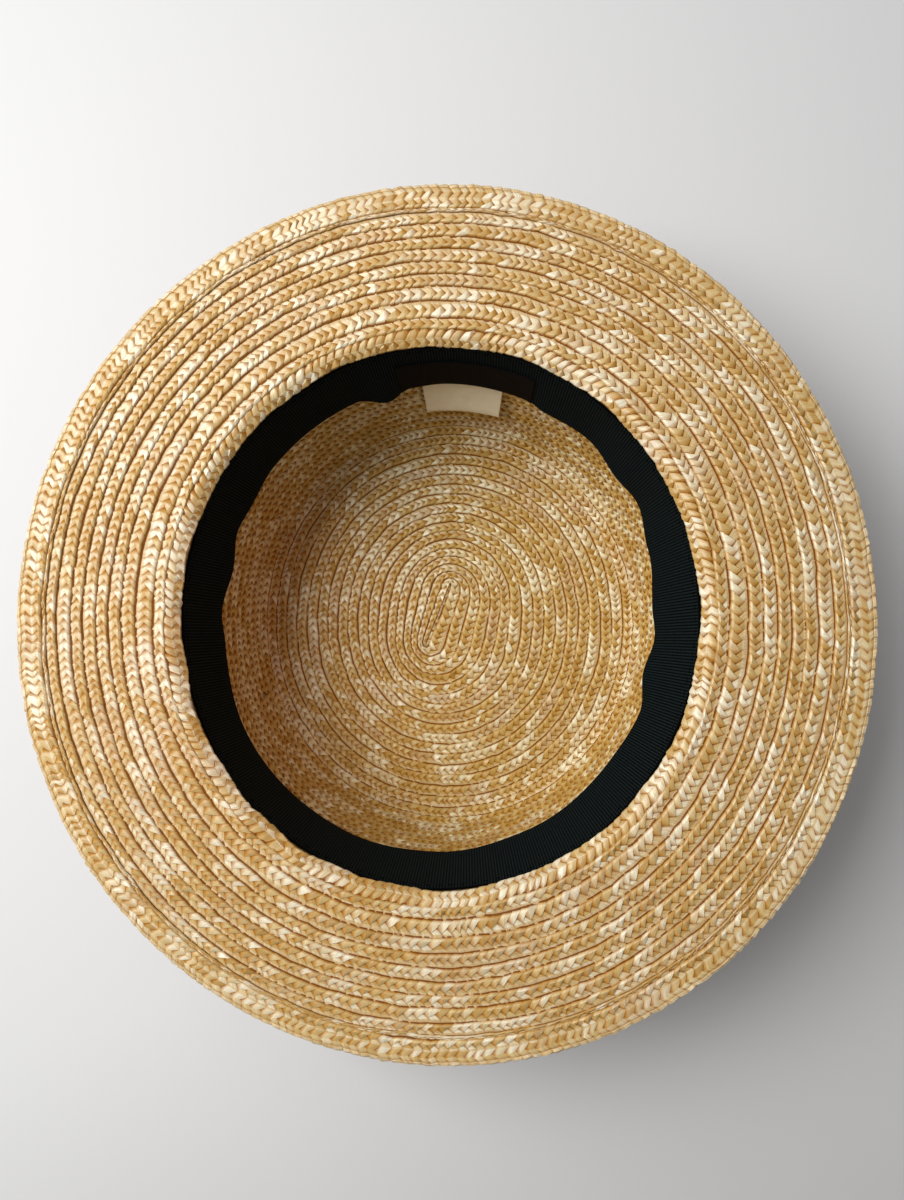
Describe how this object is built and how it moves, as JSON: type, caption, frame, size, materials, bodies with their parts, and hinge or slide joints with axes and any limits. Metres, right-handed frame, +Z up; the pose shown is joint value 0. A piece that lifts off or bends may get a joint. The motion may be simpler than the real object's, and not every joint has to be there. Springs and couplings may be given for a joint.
{
  "type": "straw boater hat",
  "caption": "Straw boater hat lying on its flat crown: oval crown and wide flat brim of lapped sewn braid, with a black ribbon sweatband, bare label and bare size tag inside.",
  "frame": {"origin": "centre of the crown tip's flat outer face, on the surface that the hat lies on", "axes": "+Z up out of the head opening, +Y towards the back of the hat where the label is, +X to the right of the picture"},
  "size_m": [0.2974, 0.305, 0.0916],
  "materials": {
    "straw": "plaited wheat straw, satin, golden with pale and tan strands",
    "grosgrain": "black ribbed ribbon, matt with a faint sheen",
    "label_weave": "brown-black damask weave, matt",
    "tag_tape": "cream woven tape, matt"
  },
  "bodies": {
    "root": {"crown": "straw", "brim": "straw", "sweatband": "grosgrain", "label": "label_weave", "size_tag": "tag_tape"}
  },
  "joints": []
}
